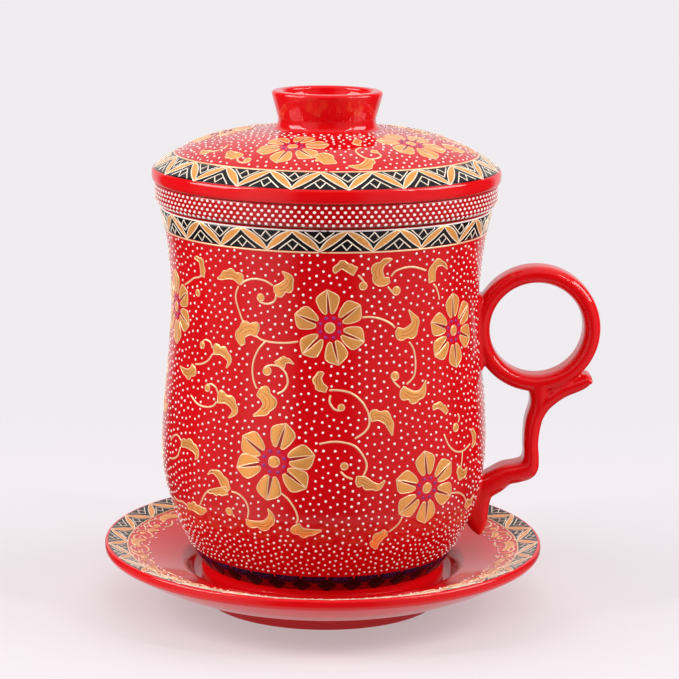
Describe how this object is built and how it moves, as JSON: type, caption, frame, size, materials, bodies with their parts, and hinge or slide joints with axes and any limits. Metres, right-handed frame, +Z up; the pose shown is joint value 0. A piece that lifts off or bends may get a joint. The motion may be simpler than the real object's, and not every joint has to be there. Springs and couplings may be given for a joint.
{
  "type": "lidded tea mug with infuser",
  "caption": "Covered porcelain tea mug: saucer, waisted mug with a ring handle, drop-in infuser with a strainer floor, and a domed lid with a ring knob.",
  "frame": {"origin": "centre of the saucer's foot ring, on the plane that it stands on", "axes": "+Z up along the common axis of saucer, mug, infuser and lid; +X through the middle of the handle; -Y is the front"},
  "size_m": [0.1347, 0.12, 0.14],
  "materials": {
    "red_glaze": "glossy red glaze over porcelain",
    "white_glaze": "glossy clear glaze over white porcelain",
    "white_enamel": "raised white enamel dots and fine lines",
    "gold_enamel": "satin ochre gold enamel",
    "cream_enamel": "raised cream gold outline enamel",
    "black_enamel": "glossy black border enamel",
    "blue_enamel": "glossy dark blue enamel",
    "purple_enamel": "glossy purple enamel",
    "bare_porcelain": "matt unglazed porcelain"
  },
  "bodies": {
    "saucer": {"saucer": "red_glaze"},
    "mug": {"mug_body": "red_glaze", "mug_handle": "red_glaze"},
    "infuser": {"infuser": "white_glaze"},
    "lid": {"lid": "red_glaze", "lid_knob": "red_glaze"}
  },
  "joints": [
    {"name": "mug_lift", "type": "slide", "parent": "saucer", "child": "mug", "axis": [0, 0, 1], "range_m": [0, 0.05]},
    {"name": "infuser_lift", "type": "slide", "parent": "mug", "child": "infuser", "axis": [0, 0, 1], "range_m": [0, 0.07]},
    {"name": "lid_lift", "type": "slide", "parent": "infuser", "child": "lid", "axis": [0, 0, 1], "range_m": [0, 0.04]}
  ]
}
